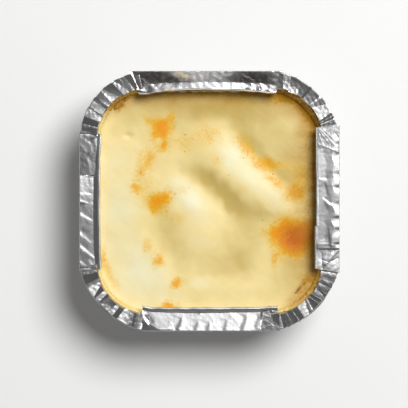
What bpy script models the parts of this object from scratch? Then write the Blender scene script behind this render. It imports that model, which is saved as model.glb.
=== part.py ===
"""A single-portion baked dish in its crimped foil tray, as two solids: the tray and the food.

Every level section of the tray is a rounded square, and all of them share their four corner
centres. A section is then one number, its radius about those centres, and the tray is one
profile of (radius, height) carried round a square path. The food fills the tray from its base
and keeps the same distance from the foil all the way up.
"""

import math

import bmesh
import bpy

MM = 0.001

# Plan, in millimetres. Radii are measured from the corner centres.
CORNER_CENTRE = 28.0
MOUTH_RADIUS = 24.2
RIM_RADIUS = 31.7
FLAP_OUTER_HALF = 60.0
FLAP_INNER_HALF = 48.9
SIDE_STEPS = 4

# How much each rim corner is squashed towards a flat chamfer, at its middle.
CORNER_SQUASH = {"north_east": 1.2, "north_west": 0.0, "south_west": 2.3, "south_east": 1.9}

# Heights and section, in millimetres.
TRAY_HEIGHT = 35.0
LEDGE_HEIGHT = 32.6
WALL_LEAN = math.radians(15.5)
FOIL = 0.3
FOOT_RADIUS = 8.0
BASE_LIFT = 0.4
BASE_FILLET = 4.0
MOUTH_BEND = 1.0
FOLD_RADIUS = 0.75
ROLL_RADIUS = 0.55
ROLL_TURN = math.radians(250)

# The crimped corners: the flap ends where the pleats begin.
FLAP_END_ANGLE = math.radians(11)
FIRST_PLEAT_ANGLE = math.radians(13)
PLEAT_FACETS = 12
PLEAT_DEPTH = 0.45
PLEAT_SERRATION = 0.3

# Food, in millimetres. The sauce rises to meet the wall, broadly and then steeply.
FOOD_GAP = 0.3
FOOD_LEVEL = 27.0
FOOD_RINGS = 14
BOWL_RISE = 1.2
BOWL_REACH = 9.0
MENISCUS_RISE = 0.9
MENISCUS_REACH = 1.8

# Folds, swells and hollows of the sauce, each a stretched bell: its middle, how far it reaches
# along and across its heading, the heading in degrees from east, and its height.
SAUCE_SWELLS = {
    "high fold, north half": {"at": (2, 20), "reach": (13, 9.5), "heading": -60, "height": 1.7},
    "high fold, east half": {"at": (23, 3), "reach": (20, 8.5), "heading": -27, "height": 2.1},
    "low fold": {"at": (-13, -2), "reach": (12, 8.5), "heading": -42, "height": 1.5},
    "crease between folds": {"at": (3, 3), "reach": (15, 4.5), "heading": -45, "height": -0.8},
    "low fold's shoulder": {"at": (-3, -17), "reach": (10, 9), "heading": 0, "height": 0.9},
    "hollow behind low fold": {"at": (-20, -20), "reach": (18, 6), "heading": -65, "height": -0.7},
    "south hollow": {"at": (16, -28), "reach": (15, 9), "heading": 0, "height": -0.9},
    "north-east swell": {"at": (34, 31), "reach": (13, 13), "heading": 0, "height": 0.9},
    "north-east hollow": {"at": (20, 22), "reach": (14, 5), "heading": -50, "height": -0.6},
    "west swell": {"at": (-41, 5), "reach": (22, 12), "heading": 90, "height": 0.7},
    "south-west swell": {"at": (-33, -37), "reach": (14, 12), "heading": 0, "height": 0.6},
}


class Column:
    """One upright slice of the tray: a point on the centre square and its way outwards."""

    def __init__(self, start, outward, off_side, squash, crease):
        self.start = start
        self.outward = outward
        self.off_side = off_side
        self.squash = squash
        self.crease = crease

    def place(self, radius):
        return tuple(a + radius * b for a, b in zip(self.start, self.outward))

    def on_flap(self):
        return self.off_side <= FLAP_END_ANGLE + 1e-6

    def radius_at_half(self, half):
        """The radius at which this slice crosses a straight edge, half a width from the middle."""
        return (half - CORNER_CENTRE) / math.cos(self.off_side)


def corner_angles():
    """Angles of a corner's slices: flap end, pleat creases at even steps, next flap's end."""
    quarter = math.pi / 2
    span = quarter - 2 * FIRST_PLEAT_ANGLE
    angles = [0.0, FLAP_END_ANGLE / 2, FLAP_END_ANGLE]
    angles += [FIRST_PLEAT_ANGLE + span * i / PLEAT_FACETS for i in range(PLEAT_FACETS + 1)]
    angles += [quarter - FLAP_END_ANGLE, quarter - FLAP_END_ANGLE / 2, quarter]
    return angles


def columns():
    """All slices in order round the tray, counter-clockwise from the east side's north end."""
    found = []
    for turn, squash in enumerate(CORNER_SQUASH.values()):
        first = turn * math.pi / 2
        centre = tuple(
            math.copysign(CORNER_CENTRE, f(first + math.pi / 4)) for f in (math.cos, math.sin)
        )
        for index, angle in enumerate(corner_angles()):
            outward = (math.cos(first + angle), math.sin(first + angle))
            off_side = min(angle, math.pi / 2 - angle)
            found.append(
                Column(centre, outward, off_side, squash * math.sin(2 * angle) ** 2, index % 2)
            )
        side_outward = (round(math.cos(first + math.pi / 2)), round(math.sin(first + math.pi / 2)))
        along = (-side_outward[1], side_outward[0])
        for step in range(1, SIDE_STEPS):
            travel = 2 * CORNER_CENTRE * step / SIDE_STEPS
            start = tuple(c + travel * a for c, a in zip(centre, along))
            found.append(Column(start, side_outward, 0.0, 0.0, 0))
    return found


def arc(centre, radius, first, last, steps):
    """Points (radius, height) on an arc, its angles measured from straight down, outwards."""
    turns = [first + (last - first) * i / steps for i in range(steps + 1)]
    return [(centre[0] + radius * math.sin(t), centre[1] - radius * math.cos(t)) for t in turns]


# The wall runs straight up from the base fillet to the mouth bend, leaning outwards.
MIDDLE = FOIL / 2
FULL_TURN = math.pi / 2 - WALL_LEAN
BEND_CENTRE = (
    MOUTH_RADIUS + MOUTH_BEND * math.sin(FULL_TURN),
    LEDGE_HEIGHT - MOUTH_BEND,
)
WALL_TOP = (
    BEND_CENTRE[0] - MOUTH_BEND * math.sin(FULL_TURN),
    BEND_CENTRE[1] + MOUTH_BEND * math.cos(FULL_TURN),
)
FILLET_TOP_HEIGHT = MIDDLE + BASE_LIFT + BASE_FILLET * (1 - math.sin(WALL_LEAN))
FILLET_START_RADIUS = (
    WALL_TOP[0]
    - (WALL_TOP[1] - FILLET_TOP_HEIGHT) * math.tan(WALL_LEAN)
    - BASE_FILLET * math.cos(WALL_LEAN)
)
FILLET_CENTRE = (FILLET_START_RADIUS, MIDDLE + BASE_LIFT + BASE_FILLET)


def base_profile(clearance):
    """The base, this far above the foil's middle surface: flat foot, soft rise, then fillet."""
    fillet = arc(FILLET_CENTRE, BASE_FILLET - clearance, 0, FULL_TURN, 2)
    return [(FOOT_RADIUS, MIDDLE + clearance)] + fillet


def tray_profile(column):
    """The foil's middle surface in one slice, from the base's foot out and over to the roll."""
    if column.on_flap():
        outer = column.radius_at_half(FLAP_OUTER_HALF)
        inner = column.radius_at_half(FLAP_INNER_HALF)
        sink = 0.0
    else:
        outer = RIM_RADIUS - column.squash - PLEAT_SERRATION * column.crease
        inner = MOUTH_RADIUS
        sink = PLEAT_DEPTH * column.crease
    outer -= MIDDLE
    inner += MIDDLE + ROLL_RADIUS
    fold_centre = (outer - FOLD_RADIUS, LEDGE_HEIGHT + FOLD_RADIUS)
    roll_centre = (inner, TRAY_HEIGHT - MIDDLE - ROLL_RADIUS - sink)
    rows = base_profile(0.0)
    rows += arc(BEND_CENTRE, MOUTH_BEND, math.pi + FULL_TURN, math.pi, 2)
    fold = arc(fold_centre, FOLD_RADIUS, 0, math.pi, 4)
    rows += [(radius, height - sink * i / 4) for i, (radius, height) in enumerate(fold)]
    rows += arc(roll_centre, ROLL_RADIUS, 0, -ROLL_TURN, 4)
    return rows


def distance_to_wall(x, y):
    """Level distance from a point in the food to the foil, which is a rounded square."""
    across, along = abs(x) - CORNER_CENTRE, abs(y) - CORNER_CENTRE
    if across > 0 and along > 0:
        from_centre = math.hypot(across, along)
    else:
        from_centre = max(across, along)
    return max(MOUTH_RADIUS - from_centre, 0.0)


def sauce_height(x, y):
    """Height of the sauce: its level, the rise to the wall, and the sum of its swells."""
    to_wall = distance_to_wall(x, y)
    height = FOOD_LEVEL + MENISCUS_RISE * math.exp(-to_wall / MENISCUS_REACH)
    height += BOWL_RISE * math.exp(-((to_wall / BOWL_REACH) ** 1.5))
    for swell in SAUCE_SWELLS.values():
        heading = math.radians(swell["heading"])
        east, north = x - swell["at"][0], y - swell["at"][1]
        along = (east * math.cos(heading) + north * math.sin(heading)) / swell["reach"][0]
        across = (north * math.cos(heading) - east * math.sin(heading)) / swell["reach"][1]
        height += swell["height"] * math.exp(-(along**2) - across**2)
    return height


def food_profile(column):
    """The food's underside and side in one slice: the tray's inner face, less the gap."""
    clearance = MIDDLE + FOOD_GAP
    rows = base_profile(clearance)
    top_height = sauce_height(*column.place(MOUTH_RADIUS - clearance))
    side_radius, side_height = rows[-1]
    rows.append((side_radius + (top_height - side_height) * math.tan(WALL_LEAN), top_height))
    return rows


def add_ring(mesh, points):
    return [mesh.verts.new([c * MM for c in point]) for point in points]


def join_rings(mesh, lower, upper):
    for i, vertex in enumerate(lower):
        after = (i + 1) % len(lower)
        mesh.faces.new((vertex, lower[after], upper[after], upper[i]))


def loft(mesh, slices, profiles):
    """Joins slice profiles into one skin. Returns its first and last rings of vertices."""
    rings = [
        add_ring(mesh, [(*s.place(radius), height) for s, (radius, height) in zip(slices, row)])
        for row in zip(*profiles)
    ]
    for lower, upper in zip(rings, rings[1:]):
        join_rings(mesh, lower, upper)
    return rings[0], rings[-1]


def add_object(name, mesh, collection, material, sharp_angle):
    data = bpy.data.meshes.new(name)
    mesh.to_mesh(data)
    mesh.free()
    data.materials.append(material)
    data.shade_smooth()
    data.set_sharp_from_angle(angle=sharp_angle)
    piece = bpy.data.objects.new(name, data)
    collection.objects.link(piece)
    return piece


def new_material(name, color, metallic, roughness):
    material = bpy.data.materials.new(name)
    material.use_nodes = True
    shader = material.node_tree.nodes["Principled BSDF"]
    shader.inputs["Base Color"].default_value = (*color, 1.0)
    shader.inputs["Metallic"].default_value = metallic
    shader.inputs["Roughness"].default_value = roughness
    return material


def make_tray(collection, slices):
    """The foil tray: one skin from the base to the roll, given the foil's thickness."""
    mesh = bmesh.new()
    first, _last = loft(mesh, slices, [tray_profile(s) for s in slices])
    mesh.faces.new(reversed(first))
    foil = new_material("foil", (0.78, 0.78, 0.79), 1.0, 0.28)
    tray = add_object("foil_tray", mesh, collection, foil, math.radians(40))
    wall = tray.modifiers.new("Foil thickness", "SOLIDIFY")
    wall.thickness = FOIL * MM
    wall.offset = 0.0


def make_food(collection, slices):
    """The food: solid from the tray's base to the folded skin of sauce on top."""
    mesh = bmesh.new()
    profiles = [food_profile(s) for s in slices]
    first, edge = loft(mesh, slices, profiles)
    mesh.faces.new(reversed(first))
    edge_points = [s.place(profile[-1][0]) for s, profile in zip(slices, profiles)]
    outer_ring = edge
    for ring in range(1, FOOD_RINGS):
        share = 1 - ring / FOOD_RINGS
        level = [(share * x, share * y) for x, y in edge_points]
        inner_ring = add_ring(mesh, [(x, y, sauce_height(x, y)) for x, y in level])
        join_rings(mesh, outer_ring, inner_ring)
        outer_ring = inner_ring
    (middle,) = add_ring(mesh, [(0, 0, sauce_height(0, 0))])
    for i, vertex in enumerate(outer_ring):
        mesh.faces.new((vertex, outer_ring[(i + 1) % len(outer_ring)], middle))
    sauce = new_material("baked_sauce", (0.90, 0.76, 0.42), 0.0, 0.4)
    add_object("baked_sauce_dish", mesh, collection, sauce, math.radians(50))


def clear_scene():
    for piece in list(bpy.data.objects):
        bpy.data.objects.remove(piece, do_unlink=True)


def main():
    clear_scene()
    collection = bpy.data.collections.new("foil_tray_meal")
    bpy.context.scene.collection.children.link(collection)
    slices = columns()
    make_tray(collection, slices)
    make_food(collection, slices)


main()
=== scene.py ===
"""Looks for a single-portion baked dish in its crimped foil tray.

The foil is one thin sheet: a pressed tray, four straight flaps folded over its rim, and four
corners gathered into pleats. The food is one smooth skin of baked sauce with folds, oily stains
and a crust where it met the foil. Shapes are worked out in millimetres and made in metres.
"""

import math
import bpy
import numpy as np
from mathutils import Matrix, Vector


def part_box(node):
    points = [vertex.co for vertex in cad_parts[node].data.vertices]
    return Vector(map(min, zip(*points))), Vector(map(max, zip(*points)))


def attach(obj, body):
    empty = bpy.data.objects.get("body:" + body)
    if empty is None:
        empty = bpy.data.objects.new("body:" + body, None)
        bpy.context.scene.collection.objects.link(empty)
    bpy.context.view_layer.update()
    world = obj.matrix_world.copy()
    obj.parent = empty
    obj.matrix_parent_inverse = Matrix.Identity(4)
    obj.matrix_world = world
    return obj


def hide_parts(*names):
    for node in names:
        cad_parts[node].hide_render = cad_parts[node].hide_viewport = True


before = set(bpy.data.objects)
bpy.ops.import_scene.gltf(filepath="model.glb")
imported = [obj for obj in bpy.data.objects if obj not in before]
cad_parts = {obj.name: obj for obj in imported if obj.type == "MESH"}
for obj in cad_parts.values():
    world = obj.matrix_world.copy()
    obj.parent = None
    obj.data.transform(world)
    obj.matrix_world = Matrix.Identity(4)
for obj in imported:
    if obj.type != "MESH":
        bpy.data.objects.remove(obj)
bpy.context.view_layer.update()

bl_info = {
    "name": "Foil Tray Meal",
    "version": (1, 0, 0),
    "blender": (4, 5, 0),
    "location": "3D View > Sidebar > Tray Meal",
    "description": "Builds a baked dish in a crimped foil tray",
    "category": "Add Mesh",
}

MM = 0.001

# The tray's driving sizes, in millimetres. Every level section is a rounded square whose corner
# centres are the same, so a radius is measured from those centres.
RIM_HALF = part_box("foil_tray")[1].x / MM
RIM_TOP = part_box("foil_tray")[1].z / MM
CORNER_CENTRE = RIM_HALF - 32.0
MOUTH_RADIUS = 24.2
RIM_RADIUS = RIM_HALF - CORNER_CENTRE - 0.3
LEDGE_HEIGHT = RIM_TOP - 2.4
HEM_HEIGHT = LEDGE_HEIGHT - 0.2
WALL_LEAN = math.radians(15.5)
BASE_FILLET = 4.0
BASE_LIFT = 0.4
FOOT_RADIUS = 8.0
MOUTH_BEND = 1.0
CORNER_SQUASH = {"north_east": 0.8, "north_west": -0.1, "south_west": 1.7, "south_east": 1.7}

# The sauce's level and its rise to the wall, in millimetres.
FOOD_LEVEL = 27.0
BOWL_RISE = 1.2
BOWL_REACH = 9.0
MENISCUS_RISE = 0.9
MENISCUS_REACH = 1.8

# Folds, swells and hollows of the sauce, each a stretched bell: middle, reach along and across
# its heading, heading in degrees from east, height.
SAUCE_SWELLS = (
    ((2, 21), (13, 9.5), -60, 1.15),
    ((23, 3), (20, 8.5), -30, 1.6),
    ((-13, -2), (12.5, 8.5), -42, 1.15, 2.6),
    ((4, 4), (17, 5.5), -45, -0.85),
    ((20, -8), (12, 6), -10, -0.3),
    ((-3, -17), (10, 9), 0, 0.9),
    ((-20, -20), (18, 6), -65, -0.55),
    ((10, -30), (14, 8), 8, -0.8),
    ((5, -40), (20, 4), 0, 0.35),
    ((34, 31), (13, 13), 0, 0.9),
    ((20, 22), (14, 5), -50, -0.6),
    ((-41, 5), (22, 12), 90, 0.7),
    ((-33, -37), (14, 12), 0, 0.6),
    ((26.5, 17.5), (15, 2.4), -45, -0.3),
    ((-37.5, 30.3), (1.9, 1.3), 0, -0.55),
    ((-35.5, 31.5), (2.6, 1.8), 30, 0.15),
)

# Painted light and shade on the sauce: painted highlight, paler on the crests and where it stands proud, and painted
# shade, deeper in the hollows and under the rim. Middle, reach along and across the heading, heading, strength.
LIGHT_AND_SHADE_PATCHES = (
    ((7, 27), (9.5, 5.8), -60, 0.3, 4),
    ((22, 10.2), (19.5, 6.4), -43, 0.48, 6),
    ((-10, 3), (11, 6.0), -45, 0.62, 3),
    ((0, -10), (8, 9), -60, 0.12, 3),
    ((-30, -36), (12, 15), 10, 0.6),
    ((-42, -2), (30, 8), 90, 0.5),
    ((6, -45), (26, 5), 0, -0.04),
    ((-4.4, -37.7), (7, 3), 0, 0.55),
    ((-34, 24), (6, 8), 0, 0.15),
    ((-39, 37), (8, 8), 0, -0.3),
    ((30, 32), (14, 12), 0, -0.35),
    ((4, 43), (36, 8), 0, -1.05),
    ((39, 15), (9, 9), 0, -0.4),
    ((40, -30), (6, 16), 0, -0.4),
    ((-6, 12.5), (9, 5), -25, -0.5),
    ((2, 8.5), (11, 4.5), -42, -0.7),
    ((31, 13.5), (15, 3.2), -45, -0.3, 3),
    ((11, -1), (8, 4.5), -55, -1.15),
    ((24, -6), (9, 4), -12, -0.6),
    ((17, 30), (10, 4), -62, -0.5, 3),
    ((-19, -18), (13, 6), -65, -0.55),
    ((9, -29), (13, 7), 8, -0.62, 3),
    ((34, -36), (7, 9), -20, -0.3),
    ((22, -14), (9, 5), -30, -0.25),
    ((11, -13), (9, 8), -20, -0.25),
    ((17, -16), (8, 6), -20, -0.2),
    ((-40, 14), (5, 6), 0, -0.3),
    ((3, 2), (6, 4), -40, -0.15),
    ((7, -36), (9, 5), 0, -0.2),
)

# Oily stains on the sauce: middle, reach along and across, heading, strength.
ORANGE_STAINS = (
    ((-22.0, 33.2), (4.2, 3.6), 50, 1.15),
    ((-27.0, 37.0), (4.2, 2.2), -35, 0.42),
    ((-18.6, 38.4), (3.0, 1.4), 70, 0.45),
    ((-21.4, 25.8), (2.6, 1.9), 60, 0.75),
    ((-28.3, 19.2), (3.4, 2.4), 70, 0.4),
    ((-32.0, 13.6), (3.4, 2.4), 40, 0.3),
    ((-34.0, 6.2), (3.2, 2.6), -50, 0.55),
    ((-20.6, 1.8), (4.0, 2.8), 20, 0.85),
    ((-25.2, -1.6), (4.8, 3.4), -60, 0.75),
    ((-15.0, -8.0), (4.5, 3.5), 0, 0.16),
    ((-29.2, -20.9), (3.2, 1.8), 80, 0.26),
    ((-23.4, -27.7), (2.6, 2.3), -60, 0.6),
    ((-15.9, -38.4), (2.1, 1.8), 0, 0.75),
    ((-11.3, -37.3), (2.4, 1.7), 0, 0.25),
    ((-19.1, -48.4), (3.6, 1.6), 0, 0.8),
    ((17.0, 24.6), (8.0, 3.2), -56, 0.4),
    ((25.4, 17.4), (4.8, 3.0), -25, 0.42),
    ((32.0, 16.6), (6.5, 2.6), 0, 0.32),
    ((28.2, 11.2), (2.2, 1.7), 0, 0.38),
    ((31.5, 8.0), (3.6, 2.4), -40, 0.4),
    ((39.5, 3.2), (4.6, 3.6), 10, 0.5),
    ((42.0, 9.5), (8.0, 4.6), 80, 0.32),
    ((30.3, -14.3), (4.0, 3.0), 0, 0.6),
    ((38.5, -16.8), (8.4, 7.4), -35, 1.3, 2.6),
    ((30.6, -27.0), (3.4, 2.8), 80, 0.4),
    ((-3.0, 30.5), (9.0, 7.5), 20, 0.14),
    ((1.2, 31.0), (4.0, 3.4), 0, 0.16),
    ((-13.0, 27.0), (6.0, 4.0), 0, 0.17),
    ((3.6, 19.5), (3.4, 2.4), 0, 0.14),
    ((-12.5, 5.5), (2.4, 2.0), 0, 0.16),
    ((-30.0, 10.0), (5.0, 8.0), 0, 0.12),
    ((-33.5, 22.5), (4.5, 3.0), 0, 0.1),
    ((-26.0, -24.0), (6.5, 6.0), 0, 0.1),
    ((-27.0, 24.0), (7.0, 6.0), 0, 0.1),
    ((-46.5, -34.0), (9.0, 1.8), -60, 0.25),
    ((-49.8, -26.0), (5.0, 1.6), 90, 0.3),
)
RED_STAINS = (
    ((39.6, -17.2), (7.2, 6.2), -40, 1.0),
    ((46.0, -15.0), (5.0, 6.6), 0, 0.8),
    ((-22.2, 32.4), (1.6, 1.6), 0, 0.1),
    ((-20.6, 2.0), (2.6, 1.6), 20, 0.12),
    ((-19.1, -48.4), (2.2, 0.9), 0, 0.35),
)

# Browned blots of the sauce near the corners; the two north-eastern ones also stand for painted shade under the rim:
# middle, reach along and across, heading, strength.
BROWN_AND_SHADE_PATCHES = (
    ((-41.5, 44.0), (3.6, 1.8), 50, 0.7),
    ((42.6, -39.6), (4.4, 1.2), 48, 0.5),
    ((44.5, 41.5), (9.0, 2.4), -45, 0.4),
    ((33.0, 47.5), (6.0, 2.4), -12, 0.4),
)

# Browned bits of crust: place, size along, across and up, heading. The last few are specks.
CRUST_BITS = (
    ((-42.0, 44.6), (2.6, 1.3, 0.8), 50),
    ((-40.8, 45.2), (1.0, 0.8, 0.9), 40),
    ((-38.4, 47.2), (1.6, 0.6, 0.6), 40),
    ((41.4, -41.0), (2.6, 0.5, 0.5), 48),
    ((44.4, -38.0), (1.3, 0.35, 0.4), 52),
    ((-11.3, 30.8), (0.30, 0.26, 0.12), 0),
    ((-11.4, 22.9), (0.28, 0.24, 0.12), 40),
    ((24.6, -8.8), (0.32, 0.26, 0.12), 10),
    ((3.6, 19.5), (0.20, 0.18, 0.10), 0),
    ((-16.0, 35.0), (0.22, 0.20, 0.10), 0),
    ((-32.0, 13.1), (0.28, 0.22, 0.10), 20),
    ((8.9, 12.0), (0.20, 0.18, 0.10), 0),
    ((15.8, 20.0), (0.22, 0.20, 0.10), 0),
    ((29.6, 12.5), (0.28, 0.22, 0.10), 70),
    ((-9.5, 6.2), (0.20, 0.20, 0.10), 0),
)


# ---------------------------------------------------------------------------------------------
# Fields: whole-array functions of two plan coordinates
# ---------------------------------------------------------------------------------------------


def ripples(x, y, size, seed, waves=7):
    """Smooth unevenness, about -1 to 1: the mean of sine waves about `size` long that run in
    random directions, scaled to a steady spread."""
    rng = np.random.default_rng(seed)
    headings, phases = rng.uniform(0, 2 * np.pi, (2, waves))
    lengths = size * rng.uniform(0.7, 1.4, waves)
    total = np.zeros(np.broadcast(x, y).shape)
    for heading, phase, length in zip(headings, phases, lengths):
        run = x * math.cos(heading) + y * math.sin(heading)
        total += np.sin(2 * np.pi * run / length + phase)
    return total / math.sqrt(waves)


def crumple(x, y, size, seed, waves=5):
    """Creased foil, about -1 to 1: the mean of triangle waves in random directions, each with
    its crests bent by a slower sine, so that flat facets meet at sharp folds."""
    rng = np.random.default_rng(seed)
    headings, phases, bends = rng.uniform(0, 2 * np.pi, (3, waves))
    lengths = size * rng.uniform(0.7, 1.5, waves)
    total = np.zeros(np.broadcast(x, y).shape)
    for heading, phase, bend, length in zip(headings, phases, bends, lengths):
        run = x * math.cos(heading) + y * math.sin(heading)
        side = y * math.cos(heading) - x * math.sin(heading)
        run = run + 0.3 * length * np.sin(side / length * 1.7 + bend)
        total += np.arcsin(np.sin(2 * np.pi * run / length + phase)) * (2 / np.pi)
    return total / math.sqrt(waves)


def bell(x, y, middle, reach, heading, power=2):
    """A stretched bell of height 1: e to the minus the sum of its distances along and across the
    heading, in units of its reach and each raised to a power. A power above 2 flattens its top
    and steepens its edge."""
    turn = math.radians(heading)
    east, north = x - middle[0], y - middle[1]
    along = (east * math.cos(turn) + north * math.sin(turn)) / reach[0]
    across = (north * math.cos(turn) - east * math.sin(turn)) / reach[1]
    return np.exp(-(np.abs(along) ** power) - np.abs(across) ** power)


def crease_relief(x, y, creases):
    """Straight folds: each is a ridge, or a valley if its height is below zero, that falls off
    as e to the minus distance over width on both sides of the line from start to end."""
    relief = np.zeros(np.broadcast(x, y).shape)
    for start, end, height, width in creases:
        run = (end[0] - start[0], end[1] - start[1])
        share = ((x - start[0]) * run[0] + (y - start[1]) * run[1]) / (run[0] ** 2 + run[1] ** 2)
        share = np.clip(share, 0, 1)
        gap = np.hypot(x - start[0] - share * run[0], y - start[1] - share * run[1])
        relief += height * np.exp(-gap / width)
    return relief


def eased(values, stations, heights):
    """Heights between stations, easing in and out of each station along a half cosine."""
    stations = np.asarray(stations, float)
    heights = np.asarray(heights, float)
    after = np.clip(np.searchsorted(stations, values, side="right"), 1, len(stations) - 1)
    before = after - 1
    share = (values - stations[before]) / (stations[after] - stations[before])
    share = (1 - np.cos(np.pi * np.clip(share, 0, 1))) / 2
    if heights.ndim > 1:
        share = share[..., None]
    return heights[before] * (1 - share) + heights[after] * share


# ---------------------------------------------------------------------------------------------
# Meshes
# ---------------------------------------------------------------------------------------------


def strip_faces(rows, columns, close_rows=False, close_columns=False):
    """Quads of a grid of points, whose index is row times columns plus column."""
    row = np.arange(rows if close_rows else rows - 1)[:, None]
    column = np.arange(columns if close_columns else columns - 1)[None, :]
    next_row = (row + 1) % rows
    next_column = (column + 1) % columns
    corners = (
        row * columns + column,
        row * columns + next_column,
        next_row * columns + next_column,
        next_row * columns + column,
    )
    return np.stack([np.broadcast_to(c, (len(row), column.shape[1])) for c in corners], -1).reshape(-1, 4)


def fan_faces(ring, pole, turned=False):
    """Triangles from one pole to a closed ring of point indices."""
    ahead = np.roll(ring, -1)
    order = (ahead, ring) if turned else (ring, ahead)
    return np.stack([*order, np.full(len(ring), pole)], -1)


def make_piece(name, points, face_groups, material, attributes=None):
    """An object from points in millimetres and groups of equal-sided faces, smooth shaded."""
    mesh = bpy.data.meshes.new(name)
    mesh.vertices.add(len(points))
    mesh.vertices.foreach_set("co", (points * MM).astype(np.float32).ravel())
    sides = np.concatenate([np.full(len(group), group.shape[1]) for group in face_groups])
    corners = np.concatenate([group.ravel() for group in face_groups])
    mesh.loops.add(len(corners))
    mesh.loops.foreach_set("vertex_index", corners.astype(np.int32))
    mesh.polygons.add(len(sides))
    starts = np.concatenate(([0], np.cumsum(sides)[:-1]))
    mesh.polygons.foreach_set("loop_start", starts.astype(np.int32))
    mesh.update(calc_edges=True)
    mesh.shade_smooth()
    for label, values in (attributes or {}).items():
        values = np.asarray(values, np.float32)
        is_vector = values.size == 3 * len(points)
        layer = mesh.attributes.new(label, "FLOAT_VECTOR" if is_vector else "FLOAT", "POINT")
        layer.data.foreach_set("vector" if is_vector else "value", values.ravel())
    mesh.materials.append(material)
    piece = bpy.data.objects.new(name, mesh)
    bpy.context.scene.collection.objects.link(piece)
    return piece


def give_thickness(piece, thickness):
    """Makes a sheet a closed wall by adding its thickness behind the modelled face."""
    wall = piece.modifiers.new("Foil thickness", "SOLIDIFY")
    wall.thickness = thickness
    wall.offset = -1.0
    wall.use_even_offset = False


def part_of_tray(piece, replaced=None):
    """Puts a finished piece on the tray's one body and hides the model part that it stands for, if one is given."""
    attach(piece, "root")
    if replaced:
        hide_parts(replaced)


# ---------------------------------------------------------------------------------------------
# The tray's plan and section
# ---------------------------------------------------------------------------------------------


def square_path(corner_steps, side_steps):
    """A walk round the tray, counter-clockwise from the east side's north end. Returns, for each
    step, the point on the centre square, the way outwards, and how far into a corner it is
    (0 on a side, 1 in the middle of a corner)."""
    starts, outwards, corner_shares = [], [], []
    for turn in range(4):
        first = turn * np.pi / 2
        angle = np.linspace(0, np.pi / 2, corner_steps, endpoint=False)
        middle = first + np.pi / 4
        centre = CORNER_CENTRE * math.sqrt(2) * np.array([math.cos(middle), math.sin(middle)])
        starts.append(np.repeat(centre[None], corner_steps, 0))
        outwards.append(np.stack([np.cos(first + angle), np.sin(first + angle)], -1))
        corner_shares.append(np.sin(2 * angle))
        facing = np.array([math.cos(first + np.pi / 2), math.sin(first + np.pi / 2)])
        heading = np.array([-facing[1], facing[0]])
        travel = np.linspace(0, 2 * CORNER_CENTRE, side_steps, endpoint=False)
        starts.append(centre + travel[:, None] * heading)
        outwards.append(np.repeat(facing[None], side_steps, 0))
        corner_shares.append(np.zeros(side_steps))
    return np.concatenate(starts), np.concatenate(outwards), np.concatenate(corner_shares)


def wall_radius(height):
    """The wall's radius at a height: a straight line that leans outwards up to the mouth."""
    return MOUTH_RADIUS - (LEDGE_HEIGHT - height) * math.tan(WALL_LEAN)


def arc(centre, radius, first, last, steps):
    """Points (radius, height) on an arc, its angles measured from straight down, outwards."""
    turns = np.linspace(first, last, steps)
    return np.stack([centre[0] + radius * np.sin(turns), centre[1] - radius * np.cos(turns)], -1)


def resampled(profile, count):
    """A profile's points, respaced evenly along its length."""
    steps = np.hypot(*np.diff(profile, axis=0).T)
    reach = np.concatenate(([0], np.cumsum(steps)))
    even = np.linspace(0, reach[-1], count)
    return np.stack([np.interp(even, reach, profile[:, i]) for i in (0, 1)], -1)


def wall_profile(count):
    """From the base's foot over the fillet, up the wall, round the mouth and along the ledge."""
    lean = WALL_LEAN
    fillet_end = BASE_LIFT + BASE_FILLET * (1 - math.sin(lean))
    fillet_centre = (wall_radius(fillet_end) - BASE_FILLET * math.cos(lean), BASE_LIFT + BASE_FILLET)
    fillet = arc(fillet_centre, BASE_FILLET, 0, np.pi / 2 - lean, 9)
    bend_centre = (
        wall_radius(LEDGE_HEIGHT - MOUTH_BEND) + MOUTH_BEND * math.cos(lean),
        LEDGE_HEIGHT - MOUTH_BEND,
    )
    bend = arc(bend_centre, MOUTH_BEND, 1.5 * np.pi - lean, np.pi, 7)
    ledge_end = np.array([[RIM_RADIUS - 1.2, LEDGE_HEIGHT]])
    foot = np.array([[FOOT_RADIUS, 0.0]])
    return resampled(np.concatenate([foot, fillet, bend, ledge_end]), count)


def tray_surface(corner_steps, side_steps, section_steps, base_rings):
    """The pressed tray. The wall is its profile carried round the rounded square, pushed out by
    gathers: half waves that deepen with height, strong in the corners and faint on the sides.
    The base is the foot's outline drawn in, ring by ring, to a pole."""
    starts, outwards, corner_share = square_path(corner_steps, side_steps)
    columns = len(starts)
    profile = wall_profile(section_steps)
    radius, height = profile[:, 0][:, None], profile[:, 1][:, None]
    walk = np.arange(columns) / columns
    rise = np.clip((height - 3) / (LEDGE_HEIGHT - 3), 0, 1)
    fade = np.clip((LEDGE_HEIGHT - height) / 1.2, 0, 1)
    beat = np.abs(np.sin(np.pi * 64 * walk + 0.8 * np.sin(2 * np.pi * 9 * walk)))
    gather = corner_share**0.7 * rise**0.8 * 0.5 * (1 - beat)
    around = walk * 2 * np.pi * 60
    dents = 0.07 * (1 + ripples(around, height, 26, 11)) + 0.07 * (1 + crumple(around, height, 10, 12))
    dents += 0.02 * (1 + crumple(around, height, 4.5, 14))
    radius = radius + fade * (gather + dents * np.clip(height / 6, 0, 1))
    plan = starts[None] + radius[..., None] * outwards[None]
    heights = np.broadcast_to(height, radius.shape)
    wall = np.concatenate([plan, heights[..., None]], -1)
    foot = wall[0, :, :2]
    share = np.linspace(0, 1, base_rings + 1)[1:-1, None, None]
    base_plan = share * foot[None]
    base_height = np.maximum(0.05 * (1 + crumple(base_plan[..., 0], base_plan[..., 1], 9, 13)), 0)
    base_height = base_height * (1 - share[..., 0] ** 6)
    base = np.concatenate([base_plan, base_height[..., None]], -1)
    rows = np.concatenate([base, wall])
    points = np.concatenate([rows.reshape(-1, 3), [[0, 0, 0.05]]])
    faces = strip_faces(len(rows), columns, close_columns=True)
    return points, [faces, fan_faces(np.arange(columns), len(points) - 1, turned=True)]


# ---------------------------------------------------------------------------------------------
# The folded flaps
# ---------------------------------------------------------------------------------------------

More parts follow.
